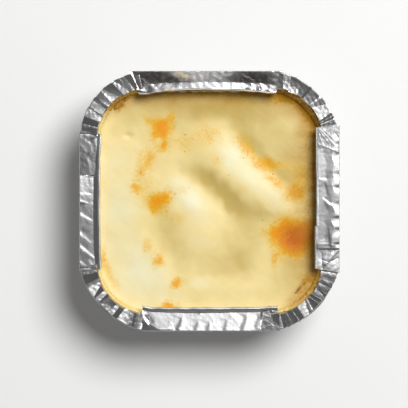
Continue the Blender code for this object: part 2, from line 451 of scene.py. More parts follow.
# Each flap is described along its side (west to east, or south to north) and across from its
# outer edge. `face` gives how far its face lies below the rim's top at five places across: the
# outer edge, a third and two thirds of the way to the groove, the groove, the bead's foot.
# `folds` are lines past which the face tips down, on their left side seen from start to end;
# `streaks` are narrow bands where it steps down to the left; `creases` are sharp little ridges.
FLAPS = {
    "north": {
        "outward": (0, 1),
        "ends": ((-37.2, -32.4), (34.2, 30.6)),
        "width": ((-33, 11.0), (-28, 10.1), (-20, 9.3), (-8, 8.9), (4, 9.0), (14, 9.3), (24, 9.9), (31, 10.5)),
        "groove": ((-35, 1.0), (35, 1.0)),
        "bead": (0.32, 0.10),
        "wander": 0.035,
        "face": (
            (-38, (0.60, 0.85, 1.10, 1.30, 1.30)),
            (-33, (0.35, 0.85, 1.25, 1.35, 1.25)),
            (-29, (0.20, 0.85, 1.35, 1.25, 0.95)),
            (-26, (0.15, 0.80, 1.36, 0.68, 0.58)),
            (-19, (0.12, 0.80, 1.28, 0.56, 0.52)),
            (-16.5, (0.36, 0.66, 1.18, 0.52, 0.50)),
            (-13, (0.46, 0.58, 0.98, 0.50, 0.48)),
            (-8, (0.52, 0.58, 0.72, 0.46, 0.48)),
            (0, (0.58, 0.61, 0.72, 0.50, 0.50)),
            (6, (0.50, 0.60, 0.82, 0.66, 0.56)),
            (10, (0.44, 0.64, 1.04, 0.90, 0.66)),
            (14.6, (0.08, 0.78, 1.32, 1.14, 0.82)),
            (16.8, (0.08, 0.78, 1.36, 1.36, 1.00)),
            (19.0, (0.10, 0.78, 1.36, 1.12, 0.84)),
            (21.2, (0.12, 0.78, 1.36, 1.38, 1.02)),
            (23.6, (0.14, 0.78, 1.36, 1.12, 0.84)),
            (26.2, (0.20, 0.80, 1.36, 1.40, 1.08)),
            (28, (0.24, 0.80, 1.34, 1.22, 1.00)),
            (30, (0.32, 0.85, 1.30, 1.45, 1.35)),
            (35, (0.70, 0.95, 1.25, 1.45, 1.40)),
        ),
        "folds": (),
        "streaks": (
            ((-36.4, 0.4), (-32.9, 8.0), -0.22, 0.45),
            ((15.5, 0.8), (22.0, 5.5), 0.05, 0.35),
            ((0.4, 0.8), (-0.4, 6.0), 0.04, 0.7),
            ((16.0, 7.0), (20.0, 7.6), -0.10, 0.5),
            ((24.0, 6.6), (28.0, 8.6), -0.12, 0.6),
        ),
        "creases": (
            ((-33.5, 8.6), (-29.5, 9.6), 0.25, 0.5),
            ((19.0, 6.0), (21.0, 9.0), 0.14, 0.5),
            ((23.0, 6.6), (23.5, 9.0), -0.14, 0.5),
        ),
        "crumple": ((-37, 0.05), (-22, 0.045), (-16, 0.014), (-6, 0.02), (6, 0.02), (10, 0.012), (15, 0.02), (34, 0.035)),
        # How strongly the inner edge is tinted brown-yellow: partly sauce film, partly painted reflection of the
        # food, strongest on this north flap; the patches below tint it further, darker where below zero.
        "film_and_reflection": 0.9,
        "film_and_reflection_tint": (
            ((-20.5, 2.8), (8, 3.0), 8, -0.55, 3),
            ((-32, 4.0), (6, 4.0), 0, -0.4),
            ((-13.5, 2.2), (5.0, 1.6), 10, 1.2),
            ((18.6, 3.4), (4.4, 0.4), 33, 1.3),
            ((11.5, 1.6), (3.0, 0.9), 0, 0.6),
            ((19.5, 3.4), (9.5, 2.8), 5, -0.6, 3),
            ((0, 2.5), (8, 2.0), 0, 0.06),
        ),
    },
    "west": {
        "outward": (-1, 0),
        "ends": ((-32.2, -31.4), (32.6, 30.6)),
        "width": ((-32, 10.1), (-20, 9.8), (0, 9.6), (20, 9.7), (31, 10.2)),
        "groove": ((-31, 2.8), (-20, 3.2), (11, 3.1), (13, 2.4), (31, 1.6)),
        "bead": (0.64, 0.26),
        "wander": 0.015,
        "face": (
            (-32, (0.80, 0.86, 0.94, 1.06, 0.72)),
            (-20, (0.76, 0.86, 0.96, 1.10, 0.66)),
            (-2, (0.76, 0.86, 0.96, 1.10, 0.66)),
            (0, (0.36, 0.67, 0.94, 1.16, 0.62)),
            (11.6, (0.34, 0.66, 0.95, 1.18, 0.62)),
            (12.0, (1.10, 1.00, 0.90, 0.92, 0.70)),
            (20, (1.10, 1.00, 0.94, 0.95, 0.75)),
            (28, (1.00, 0.98, 0.96, 0.98, 0.75)),
            (33, (1.00, 0.98, 0.96, 1.00, 0.80)),
        ),
        "folds": (),
        "streaks": (
            ((-5.6, 0.2), (-8.8, 5.6), -0.075, 0.72),
            ((-14.6, 0.2), (-18.8, 5.0), -0.075, 0.75),
            ((-20.4, 0.2), (-26.0, 6.8), -0.085, 0.78),
            ((-27.8, 0.4), (-30.6, 4.2), -0.05, 0.5),
            ((-27.4, 4.8), (-30.4, 6.6), -0.05, 0.6),
            ((3.6, 0.8), (3.2, 5.8), -0.03, 0.4),
            ((-0.2, 0.8), (-0.8, 4.2), -0.04, 0.5),
            ((19.5, 4.6), (16.2, 4.8), -0.05, 0.8),
            ((27.0, 2.0), (23.0, 3.0), -0.03, 0.6),
            ((28.0, 4.0), (24.0, 5.6), -0.035, 0.6),
            ((26.0, 6.4), (22.0, 6.8), -0.03, 0.6),
            ((29.0, 7.6), (25.0, 8.4), -0.06, 0.6),
            ((10.0, 7.0), (-31.0, 7.2), -0.045, 0.7),
        ),
        "creases": (
            ((31.0, 0.2), (30.6, 8.8), -0.14, 0.4),
            ((29.0, 6.0), (30.6, 9.0), 0.2, 0.4),
            ((-31.0, 0.4), (-30.6, 8.0), -0.10, 0.5),
        ),
        "crumple": ((-31, 0.012), (-2, 0.010), (0, 0.013), (12, 0.013), (13, 0.016), (22, 0.028), (31, 0.028)),
        "film_and_reflection": 0.25,
        "film_and_reflection_tint": (),
    },
    "south": {
        "outward": (0, -1),
        "ends": ((-31.2, -30.8), (32.4, 31.2)),
        "width": ((-31, 11.7), (-26, 11.0), (0, 10.95), (20, 11.1), (31, 11.5)),
        "groove": ((-31, 1.6), (-27, 2.1), (-10, 2.5), (20, 2.3), (31, 1.9)),
        "bead": (0.72, 0.10),
        "wander": 0.0,
        "face": (
            (-31, (0.24, 0.60, 1.00, 1.42, 0.95)),
            (-26, (0.14, 0.57, 1.04, 1.54, 0.85)),
            (0, (0.14, 0.57, 1.04, 1.54, 0.85)),
            (23.6, (0.16, 0.57, 1.02, 1.50, 0.85)),
            (24.4, (1.12, 1.04, 0.95, 1.02, 0.85)),
            (32, (1.08, 1.04, 0.98, 1.04, 0.90)),
        ),
        "folds": (((-22.4, 0.3), (-28.8, 4.0), 0.16),),
        "streaks": (
            ((-28.4, 3.6), (-31.0, 9.6), -0.12, 0.35),
            ((-28.6, 9.4), (-26.0, 4.2), -0.05, 0.6),
            ((-14.9, 1.0), (-13.2, 5.2), 0.15, 1.0),
            ((-6.8, 0.9), (-5.6, 3.8), 0.08, 0.9),
            ((-1.2, 0.6), (-0.4, 3.2), 0.09, 0.9),
            ((6.8, 0.9), (7.6, 4.4), 0.08, 0.85),
            ((14.6, 1.0), (16.8, 6.2), 0.12, 1.05),
            ((14.2, 5.2), (10.6, 7.8), -0.08, 0.9),
            ((21.2, 2.0), (22.8, 6.6), 0.08, 0.9),
        ),
        "creases": (
            ((24.0, 0.8), (24.0, 7.8), 0.10, 0.35),
            ((25.0, 1.4), (31.0, 4.4), 0.05, 0.5),
            ((25.0, 5.8), (30.4, 1.6), 0.03, 0.5),
            ((26.0, 7.2), (31.0, 5.6), 0.07, 0.5),
            ((-23.0, 0.9), (-14.0, 1.3), 0.10, 0.25),
            ((-7.0, 10.4), (-4.6, 8.6), 0.25, 0.4),
            ((28.6, 9.2), (31.2, 11.4), 0.25, 0.4),
        ),
        "crumple": ((-31, 0.012), (-26, 0.006), (23, 0.006), (25, 0.03), (32, 0.03)),
        "film_and_reflection": 0.25,
        "film_and_reflection_tint": (),
    },
    "east": {
        "outward": (1, 0),
        "ends": ((-33.0, -31.0), (35.2, 33.8)),
        "width": ((-31, 11.5), (-22.4, 11.6), (-12.6, 11.6), (-12.2, 10.9), (0, 10.9), (33, 11.1)),
        "groove": ((-31, 0.9), (-22.4, 1.6), (-12.2, 1.5), (-11.8, 1.1), (24, 1.1), (33, 0.9)),
        "bead": (0.36, 0.10),
        "wander": 0.05,
        "face": (
            (-33, (0.84, 0.62, 0.50, 0.44, 0.42)),
            (-22.8, (1.00, 0.78, 0.66, 0.60, 0.56)),
            (-21.6, (0.74, 0.55, 0.50, 0.48, 0.55)),
            (-20.0, (0.88, 0.46, 0.48, 0.46, 0.50)),
            (-18.8, (0.60, 0.46, 0.54, 0.50, 0.50)),
            (-17.2, (0.60, 0.44, 0.60, 0.54, 0.48)),
            (-13.4, (0.83, 0.46, 0.60, 0.54, 0.48)),
            (-12.0, (0.60, 0.43, 0.60, 0.54, 0.48)),
            (-8.1, (0.83, 0.46, 0.60, 0.54, 0.48)),
            (-6.7, (0.60, 0.43, 0.60, 0.54, 0.48)),
            (-1.8, (0.85, 0.46, 0.60, 0.54, 0.48)),
            (0.4, (0.66, 0.46, 0.60, 0.56, 0.50)),
            (3.0, (0.62, 0.44, 0.60, 0.56, 0.50)),
            (6.0, (0.83, 0.46, 0.60, 0.54, 0.48)),
            (7.6, (0.60, 0.43, 0.58, 0.50, 0.46)),
            (12.0, (0.83, 0.48, 0.60, 0.47, 0.48)),
            (14.2, (0.68, 0.44, 0.60, 0.47, 0.48)),
            (21.0, (0.82, 0.50, 0.60, 0.49, 0.50)),
            (24, (0.60, 0.49, 0.54, 0.56, 0.58)),
            (35, (0.60, 0.50, 0.56, 0.60, 0.62)),
        ),
        "folds": (),
        "streaks": (
            ((-1.4, 4.4), (1.0, 7.2), -0.08, 0.4),
            ((-24.0, 4.4), (-27.6, 8.2), -0.06, 0.6),
            ((3.4, 5.4), (7.4, 6.4), 0.05, 0.5),
            ((10.0, 6.4), (10.4, 9.2), -0.06, 0.5),
            ((-20.4, 4.4), (-13.0, 5.2), 0.06, 0.4),
        ),
        "creases": (
            ((-22.8, 0.8), (-29.2, 6.6), 0.22, 0.7),
            ((22.4, 0.6), (24.8, 6.0), 0.06, 0.45),
            ((25.0, 1.8), (33.0, 9.0), 0.05, 0.45),
            ((28.4, 2.6), (33.4, 8.0), 0.04, 0.4),
            ((26.6, 5.0), (32.6, 9.6), 0.05, 0.45),
            ((26.0, 7.8), (31.6, 10.0), 0.04, 0.45),
            ((24.6, 6.0), (26.0, 9.6), 0.05, 0.5),
            ((24.4, 1.2), (26.4, 0.8), -0.10, 0.5),
            ((29.4, 0.8), (31.0, 2.0), -0.08, 0.5),
            ((-22.3, 0.6), (-22.3, 10.6), -0.04, 0.3),
            ((-26.2, 1.0), (-27.6, 3.4), -0.10, 0.4),
            ((-28.0, 5.2), (-27.0, 8.6), -0.08, 0.4),
            ((-31.0, 8.0), (-24.0, 8.4), -0.10, 0.5),
        ),
        "crumple": ((-33, 0.02), (-23, 0.016), (-21, 0.006), (20, 0.006), (24, 0.02), (34, 0.02)),
        "film_and_reflection": 0.1,
        "film_and_reflection_tint": (),
    },
}
FOLD_DEPTH = 0.45
BEAD_FLATNESS = 0.6
HEM_DEPTH = 3.4
LIP_REACH = 0.12


def left_of(x, y, start, end):
    """Signed distance to the left of the line from start to end, and distance past its ends."""
    run_x, run_y = end[0] - start[0], end[1] - start[1]
    length = math.hypot(run_x, run_y)
    side = ((y - start[1]) * run_x - (x - start[0]) * run_y) / length
    along = ((x - start[0]) * run_x + (y - start[1]) * run_y) / length
    return side, np.maximum(-along, 0) + np.maximum(along - length, 0)


def fold_relief(x, y, folds):
    """Past each line the sheet tips down at a slope: minus slope times distance left of it."""
    relief = np.zeros(np.broadcast(x, y).shape)
    for start, end, slope in folds:
        relief -= slope * np.maximum(left_of(x, y, start, end)[0], 0)
    return relief


def streak_relief(x, y, streaks):
    """Smooth steps, lower on the line's left: minus depth times the hyperbolic tangent of
    distance over width, both shrinking from start to end, and faded beyond the line's ends."""
    relief = np.zeros(np.broadcast(x, y).shape)
    for start, end, depth, width in streaks:
        side, beyond = left_of(x, y, start, end)
        length = math.hypot(end[0] - start[0], end[1] - start[1])
        from_start = np.hypot(x - start[0], y - start[1]) / length
        taper = 1.3 - 0.75 * np.clip(from_start, 0, 1)
        step = depth * taper * np.tanh(side / (width * taper))
        relief -= step * np.exp(-((beyond / 0.8) ** 2) - (side / 3.0) ** 2)
    return relief


def flap_surface(flap, seed, along_steps=300, face_steps=60, bead_steps=12, fold_steps=8):
    """One flap: a section carried along its side. From the hem under the ledge it goes out,
    round a half ellipse at the outer edge, in across the face, down into the groove and over
    the rolled bead, which is a flattened circle. The face's height eases between stations along the side and runs straight
    between knots across it, with folds, streaks, creases and crumple added."""
    outward = np.array(flap["outward"], float)
    heading = np.array([abs(outward[1]), abs(outward[0])])
    share = np.linspace(0, 1, along_steps)[:, None]
    (first_outer, first_inner), (last_outer, last_inner) = flap["ends"]

    def along_at(across, width):
        inwards = np.clip(across / width, 0, 1)
        first = first_outer + (first_inner - first_outer) * inwards
        last = last_outer + (last_inner - last_outer) * inwards
        return first + (last - first) * share

    bead_radius, bead_drop = flap["bead"]
    middle_run = np.linspace(first_outer, last_outer, along_steps)
    width = eased(middle_run, *zip(*flap["width"]))[:, None]
    width = width + 0.06 * ripples(middle_run, 0 * middle_run, 9, seed)[:, None]
    foot = width - 2 * bead_radius
    groove = width - eased(middle_run, *zip(*flap["groove"]))[:, None]
    groove = np.minimum(groove, foot - 0.1)
    wander = flap["wander"] * ripples(middle_run, 0 * middle_run, 6, seed + 8)[:, None]
    knots = [0 * groove, groove * (1 / 3 + wander), groove * (2 / 3 + wander), groove, foot]
    knots = np.concatenate(knots, 1)
    spread = np.linspace(0, 4, face_steps)
    before = np.minimum(spread.astype(int), 3)
    mix = spread - before
    face_across = knots[:, before] * (1 - mix) + knots[:, before + 1] * mix
    face_across = np.maximum(face_across, FOLD_DEPTH + 0.02 * spread)
    face_along = along_at(face_across, width)
    drops = eased(face_along, *zip(*flap["face"]))
    picked = np.arange(face_steps)
    before = np.clip((face_across[..., None] > knots[:, None, 1:4]).sum(-1), 0, 3)
    rows = np.arange(along_steps)[:, None]
    low, high = knots[rows, before], knots[rows, before + 1]
    mix = np.clip((face_across - low) / (high - low), 0, 1)
    drop = drops[rows, picked, before] * (1 - mix) + drops[rows, picked, before + 1] * mix
    edge_fade = np.clip((foot - face_across) / 0.8, 0, 1)
    relief = crease_relief(face_along, face_across, flap["creases"])
    relief += fold_relief(face_along, face_across, flap["folds"])
    relief += streak_relief(face_along, face_across, flap["streaks"])
    strength = eased(face_along, *zip(*flap["crumple"]))
    relief += strength * crumple(face_along, face_across, 3.0, seed + 1)
    relief += 0.35 * strength * crumple(face_along, face_across, 1.4, seed + 2)
    face_height = np.clip(RIM_TOP - drop + edge_fade * relief, LEDGE_HEIGHT + 0.2, RIM_TOP - 0.03)

    fold_turn = np.linspace(-np.pi / 2, np.pi / 2, fold_steps, endpoint=False)[None]
    fold_top = face_height[:, :1]
    fold_across = FOLD_DEPTH * (1 - np.cos(fold_turn)) + 0.06 * crumple(face_along[:, :1], 0, 4, seed + 3)
    fold_across = np.maximum(fold_across, 0.02)
    fold_height = (fold_top + HEM_HEIGHT) / 2 + (fold_top - HEM_HEIGHT) / 2 * np.sin(fold_turn)
    hem_across = np.repeat(np.linspace(HEM_DEPTH, FOLD_DEPTH, 4)[None, :-1], along_steps, 0)
    hem_height = np.full(hem_across.shape, HEM_HEIGHT)
    bead_turn = np.radians(np.linspace(165, -75, bead_steps))[None]
    bead_size = bead_radius * (1 + 0.08 * ripples(middle_run, 0 * middle_run, 5, seed + 4)[:, None])
    bead_across = width - bead_radius + bead_size * np.cos(bead_turn)
    bead_drop = bead_drop + 0.05 + 0.04 * ripples(middle_run, 0 * middle_run, 12, seed + 5)[:, None]
    bead_height = RIM_TOP - bead_drop + BEAD_FLATNESS * bead_size * (np.sin(bead_turn) - 1)
    across = np.concatenate([hem_across, fold_across, face_across, bead_across], 1)
    height = np.concatenate([hem_height, fold_height, face_height, bead_height], 1)
    along = along_at(across, width)
    lip_across = np.maximum(across[[0, -1]], FOLD_DEPTH) + 0.004 * np.arange(across.shape[1])
    lip_height = np.full((2, across.shape[1]), HEM_HEIGHT)
    across = np.concatenate([lip_across[:1], across, lip_across[1:]])
    height = np.concatenate([lip_height[:1], height, lip_height[1:]])
    along = np.concatenate([along[:1] - LIP_REACH, along, along[-1:] + LIP_REACH])
    width = np.concatenate([width[:1], width, width[-1:]])
    plan = (RIM_HALF - across)[..., None] * outward + along[..., None] * heading
    points = np.concatenate([plan, height[..., None]], -1)
    # Brown-yellow tint along the inner edge and in patches: partly sauce film and partly painted reflection of the
    # food.
    film_and_reflection = np.clip((across - width + 1.1) / 0.7, 0, 1) * (0.5 + 0.5 * ripples(along, across, 7, seed + 6))
    film_and_reflection = np.clip(film_and_reflection * flap["film_and_reflection"], 0, 1)
    film_and_reflection = np.clip(film_and_reflection + stain_field(along, across, flap["film_and_reflection_tint"], 0.5, 0.3, seed + 7), -1, 1)
    sheet = np.stack([along, across, 0 * along], -1)
    if outward @ np.array([heading[1], -heading[0]]) < 0:
        return points[::-1], film_and_reflection[::-1], sheet[::-1]
    return points, film_and_reflection, sheet


# ---------------------------------------------------------------------------------------------
# The pleated corners
# ---------------------------------------------------------------------------------------------

# Each corner's pleats in counter-clockwise order: the angle at which each ends, on the outer
# and on the inner edge, how many degrees it leans towards the north-east and towards the
# north-west, and how much further it leans at its inner end than at its outer end. The first
# entry only says where the first pleat begins.
PLEATS = {
    "north_east": (
        (7, 8, 0, 0, 0),
        (13.5, 14.5, -4, -3, 0),
        (16.5, 16, -7, 2, 0),
        (19, 17.5, -2.5, -4, 0),
        (21, 19, -10, 4, 0),
        (22.5, 20, -5, 0, 0),
        (24.5, 21.5, -11, 2, 0),
        (33, 38, 0.6, 0, 1),
        (39.5, 41, -5.5, 4, 2),
        (41.5, 42.2, -0.5, 2, 0),
        (51, 52, -6.5, -3, 3),
        (53.5, 54.5, -17, -6, 0),
        (62, 60, -9, -2, 3),
        (67, 64.5, -4, 4, 10),
        (72, 69.5, -4.5, -3, 10),
        (78.5, 76, -1.5, 4, 3),
        (83, 83, -10, 0, 2),
    ),
    "north_west": (
        (98, 97, 0, 0, 0),
        (105, 101.5, -9, 0, 0),
        (111, 106.5, -14, -3, 2),
        (116, 109.5, -4, 4, 6),
        (120.5, 112.5, -6, -2, 5),
        (123, 119, 1.6, 2, 1),
        (132, 124.5, -9.5, 3, 8),
        (134, 135, 1.8, 0, 1),
        (141, 140.5, -3, -4, 6),
        (144.5, 144, -8, 3, 1),
        (149.5, 151.5, 1.2, 0, 1),
        (152, 153.5, -2, 3, 0),
        (159.5, 159.5, 1.6, -2, 2),
        (166, 166, -17, -3, 0),
        (168.5, 168, -2, 4, 0),
        (176, 176, -11, 0, 0),
    ),
    "south_west": (
        (183, 183, 0, 0, 0),
        (186, 186, -1.5, 3, 0),
        (189, 189, -3.5, 0, 0),
        (192, 191, -0.5, 0, 0),
        (200, 197.5, -15.5, 3, 4),
        (203, 202.5, 0, -4, 0),
        (213, 206, 5.9, 0, 0),
        (214.5, 212.5, -9.5, 4, -3),
        (219, 217.5, 4.6, -2, 1),
        (221.5, 221, -4.5, 5, -4),
        (227, 226, -0.5, 0, -4),
        (230.5, 233, -1, -2, -9),
        (236, 237, 5, 2, 0),
        (240.8, 243, -8.5, 3, 0),
        (250, 248.8, 5.7, 1, 0),
        (252.5, 251.5, 3, 0, 0),
        (255.2, 254.5, 1, -2, 0),
        (257.5, 257, -8.5, 0, 0),
        (260.5, 260.5, 0, 0, 0),
        (264, 265, 3, 3, -5),
        (270, 271, -2.5, 0, 3),
    ),
    "south_east": (
        (271, 271, 0, 0, 0),
        (278, 279.5, -13, 0, 0),
        (281.5, 280.5, 0.5, 0, 0),
        (285, 284, -12, 3, 1),
        (290, 287.5, -6, -5, -3),
        (296, 294, -10, 4, 1),
        (301.5, 301, -13, -2, -2),
        (306.5, 311, 3.2, 0, 0),
        (309, 313, -6, 5, 0),
        (311.5, 315, 0.5, -2, -2),
        (319, 318, -12, 2, -6),
        (323.8, 322, -12, 2, -8),
        (326.5, 330, -3, 0, 5),
        (330, 332, -10, 3, 3),
        (334, 334.5, -6, -3, 1),
        (336.5, 336.5, -1.5, 2, 0),
        (341, 340.5, -7, 3, 2),
        (344, 343.5, -2, 0, 0),
        (347, 346.5, -6, -2, 0),
        (350, 349.5, 0.8, 0, 0),
        (351.5, 351, -5, 3, 0),
        (357, 356, 0.5, 0, 0),
    ),
}
PLEAT_MIDDLE_DROP = 0.95
PLEAT_LEAN = 0.6
PLEAT_STEP = 0.12
PLEAT_RAGGED = (-0.30, 0.25)


def pleat_surface(corner, pleats, seed, pleat_steps=10, face_steps=34, fold_steps=7):
    """One corner of the rim: pleats side by side, each a small plane that leans its own way.
    A pleat's sides run from its outer angle to its inner angle, and a short riser joins it to
    the next. The section is the flap's without the bead: hem, outer fold, face, inner edge."""
    sign = {"east": 1, "west": -1, "north": 1, "south": -1}
    north, east = corner.split("_")
    centre = CORNER_CENTRE * np.array([sign[east], sign[north]])
    rng = np.random.default_rng(seed)
    count = len(pleats) - 1
    shares = np.linspace(0, 1, pleat_steps)[None]
    table = np.array(pleats, float)
    begin, end = table[:-1], table[1:]
    outer = np.radians(begin[:, :1] * (1 - shares) + end[:, :1] * shares).ravel()
    inner = np.radians(begin[:, 1:2] * (1 - shares) + end[:, 1:2] * shares).ravel()
    lean = np.repeat(np.tan(np.radians(end[:, 2] + PLEAT_LEAN)), pleat_steps)
    aside = np.repeat(np.tan(np.radians(end[:, 3])), pleat_steps)
    squash = CORNER_SQUASH[corner]
    outer_radius = RIM_RADIUS - squash * np.sin(2 * outer) ** 2
    ragged = rng.uniform(*PLEAT_RAGGED, (2, count, 1))
    outer_radius += (ragged[0] * (1 - shares) + ragged[1] * shares).ravel()
    inner_radius = MOUTH_RADIUS + np.repeat(rng.uniform(-0.4, 0.3, count), pleat_steps)
    outer_points = centre + outer_radius[:, None] * np.stack([np.cos(outer), np.sin(outer)], -1)
    inner_points = centre + inner_radius[:, None] * np.stack([np.cos(inner), np.sin(inner)], -1)
    middles = (outer_points + inner_points).reshape(count, pleat_steps, 2).mean(1) / 2
    middles = np.repeat(middles, pleat_steps, 0)
    inwards = (inner_points - outer_points) / np.linalg.norm(
        inner_points - outer_points, axis=1, keepdims=True
    )
    reach = np.linalg.norm(inner_points - outer_points, axis=1)[:, None]
    across = FOLD_DEPTH + (reach - FOLD_DEPTH) * np.linspace(0, 1, face_steps)[None]
    plan = outer_points[:, None] + across[..., None] * inwards[:, None]
    offset = plan - middles[:, None]
    towards = (offset[..., 0] + offset[..., 1]) / math.sqrt(2)
    sideways = (offset[..., 1] - offset[..., 0]) / math.sqrt(2)
    bow = np.tile((shares.ravel() - 0.5) ** 2, count)[:, None]
    bend = np.repeat(rng.uniform(-0.2, 0.2, count), pleat_steps)[:, None]
    step = np.repeat(rng.uniform(-PLEAT_STEP, PLEAT_STEP, count), pleat_steps)[:, None]
    face_height = RIM_TOP - PLEAT_MIDDLE_DROP + step
    twist = np.repeat(np.tan(np.radians(end[:, 4])), pleat_steps)[:, None]
    lean = lean[:, None] + twist * (np.linspace(0, 1, face_steps)[None] - 0.5)
    face_height = face_height - lean * towards - aside[:, None] * sideways + bend * bow
    face_height += 0.028 * crumple(plan[..., 0], plan[..., 1], 2.6, seed + 1)
    face_height += 0.010 * crumple(plan[..., 0], plan[..., 1], 1.3, seed + 2)
    face_height = np.clip(face_height, LEDGE_HEIGHT + 0.25, RIM_TOP - 0.03)

    fold_turn = np.linspace(-np.pi / 2, np.pi / 2, fold_steps, endpoint=False)[None]
    fold_across = np.repeat(FOLD_DEPTH * (1 - np.cos(fold_turn)), len(outer), 0)
    fold_top = face_height[:, :1]
    fold_height = (fold_top + HEM_HEIGHT) / 2 + (fold_top - HEM_HEIGHT) / 2 * np.sin(fold_turn)
    hem_across = np.repeat(np.linspace(HEM_DEPTH, FOLD_DEPTH, 4)[None, :-1], len(outer), 0)
    hem_height = np.full(hem_across.shape, HEM_HEIGHT)
    tuck = np.linspace(0, 1, 6)[None, 1:]
    tuck_across = reach + 0.25 * np.sin(tuck * np.pi / 2)
    tuck_height = face_height[:, -1:] * (1 - tuck) + (LEDGE_HEIGHT - 0.3) * tuck
    all_across = np.concatenate([hem_across, fold_across, across, tuck_across], 1)
    all_height = np.concatenate([hem_height, fold_height, face_height, tuck_height], 1)
    all_plan = outer_points[:, None] + all_across[..., None] * inwards[:, None]
    points = np.concatenate([all_plan, all_height[..., None]], -1)
    # Here the tint is baked-on sauce along the pleats' inner edge.
    film_and_reflection = np.clip((all_across - reach + 1.0) / 1.6, 0, 1)
    film_and_reflection = film_and_reflection * (0.2 + 0.6 * ripples(all_plan[..., 0], all_plan[..., 1], 4, seed + 3))
    along = np.repeat(outer[:, None] * RIM_RADIUS, all_across.shape[1], 1)
    return points, np.clip(film_and_reflection, 0, 1), np.stack([along, all_across, 0 * along], -1)


# ---------------------------------------------------------------------------------------------
# The food
# ---------------------------------------------------------------------------------------------


def distance_to_wall(x, y):
    """Level distance to the rounded square of the mouth, from inside it."""
    across, along = np.abs(x) - CORNER_CENTRE, np.abs(y) - CORNER_CENTRE
    in_corner = (across > 0) & (along > 0)
    from_centre = np.where(in_corner, np.hypot(across, along), np.maximum(across, along))
    return np.maximum(MOUTH_RADIUS - from_centre, 0.0)


def sauce_height(x, y):
    """The sauce's level, its rise to the wall and the sum of its swells."""
    to_wall = distance_to_wall(x, y)
    height = FOOD_LEVEL + MENISCUS_RISE * np.exp(-to_wall / MENISCUS_REACH)
    height = height + BOWL_RISE * np.exp(-((to_wall / BOWL_REACH) ** 1.5))
    for middle, reach, heading, swell, *power in SAUCE_SWELLS:
        height = height + swell * bell(x, y, middle, reach, heading, *power)
    return height


def skin_relief(x, y):
    """Fine unevenness of the baked skin: slow dimples, a finer grain and a crusty edge."""
    to_wall = distance_to_wall(x, y)
    crusty = np.exp(-((to_wall / 2.6) ** 2))
    relief = 0.05 * ripples(x, y, 11, 21) + 0.010 * ripples(x, y, 4.5, 22)
    relief += (0.002 + 0.035 * crusty) * ripples(x, y, 1.5, 23, waves=9)
    return relief + 0.05 * crusty * np.abs(crumple(x, y, 2.2, 24))


def stain_field(x, y, stains, warp, ragged, seed):
    """Soft blots: stretched bells read at places pushed about by long ripples, and by short ones
    where their edges are ragged."""
    east = x + warp * ripples(x, y, 7, seed) + ragged * ripples(x, y, 2.1, seed + 1)
    north = y + warp * ripples(x, y, 7, seed + 2) + ragged * ripples(x, y, 2.1, seed + 3)
    total = np.zeros(np.broadcast(x, y).shape)
    for middle, reach, heading, strength, *power in stains:
        total = total + strength * bell(east, north, middle, reach, heading, *power)
    return total


# How far the brown band reaches in from the wall, by the direction it lies in: about a millimetre of real browned
# edge on the south and west, widening to a band of painted shade of the rim along the east and north.
BROWNED_AND_SHADE_REACH = (
    (-180, 1.0), (-135, 1.4), (-90, 1.3), (-45, 6.4), (-12, 10.6), (10, 11.6), (45, 7.0), (90, 7.0),
    (120, 4.6), (145, 2.4), (180, 1.0),
)


def browned_and_shade_field(x, y):
    """How far the sauce is coloured brown, 0 to 1: most at the wall and falling off over a reach that is wide along
    the east and north, where the brown is painted shade of the rim, and narrow elsewhere, where it is a real browned
    edge."""
    to_wall = distance_to_wall(x, y)
    direction = np.degrees(np.arctan2(y * np.abs(y) ** 3, x * np.abs(x) ** 3))
    reach = eased(direction, *zip(*BROWNED_AND_SHADE_REACH)) * (1 + 0.10 * ripples(x, y, 12, 50))
    band = np.exp(-((to_wall / reach) ** 1.7)) * (0.9 + 0.1 * ripples(x, y, 6, 51))
    # Slightly less painted shade right at the wall, where the rim's rendered shadow already falls, save in the
    # north-east corner.
    on_side = 1 - bell(x, y, (46, 46), (15, 15), 0)
    return np.clip(band * (1 - 0.12 * on_side * np.exp(-((to_wall / 3.2) ** 2))), 0, 1)


def food_surface(side_steps=284):
    """The food as one closed body. Its top is a square grid whose rings, counted from the middle,
    are the edge's outline drawn in; below the edge it follows the wall down to the base."""
    spread = np.linspace(-1, 1, side_steps)
    across, along = np.meshgrid(spread, spread, indexing="xy")
    share = np.maximum(np.abs(across), np.abs(along))
    flat = np.abs(across) >= np.abs(along)
    long_way = np.where(flat, across, along)
    short_way = np.where(flat, along, -across)
    side = np.where(flat, 0, 1) + np.where(long_way < 0, 2, 0)
    within = short_way / np.where(long_way == 0, 1, long_way)
    edge = outline_at(side, within, wall_radius(FOOD_LEVEL + 1.7) - 0.16)
    plan = share[..., None] * edge
    height = sauce_height(plan[..., 0], plan[..., 1]) + skin_relief(plan[..., 0], plan[..., 1])
    top = np.concatenate([plan, height[..., None]], -1).reshape(-1, 3)
    index = np.arange(side_steps**2).reshape(side_steps, side_steps)
    rim = np.concatenate([index[0, :-1], index[:-1, -1], index[-1, :0:-1], index[:0:-1, 0]])
    drops = np.array([24.0, 16.0, 8.0, 3.5, 1.6, 0.7])
    rim_plan = top[rim, :2]
    flank = wall_radius(drops) - wall_radius(FOOD_LEVEL + 1.7)
    flank[-2:] -= (1.2, 3.2)
    outwards = outward_from_square(rim_plan)
    sides = np.concatenate(
        [
            np.concatenate([rim_plan + f * outwards, np.full((len(rim), 1), d)], 1)
            for f, d in zip(flank, drops)
        ]
    )
    points = np.concatenate([top, sides, [[0, 0, drops[-1]]]])
    rings = np.concatenate([rim[None], len(top) + np.arange(len(sides)).reshape(len(drops), -1)])
    skirt = strip_faces(len(rings), len(rim), close_columns=True)
    skirt = rings.ravel()[skirt]
    return points, [
        strip_faces(side_steps, side_steps),
        skirt[:, ::-1],
        fan_faces(rings[-1], len(points) - 1, turned=True),
    ]


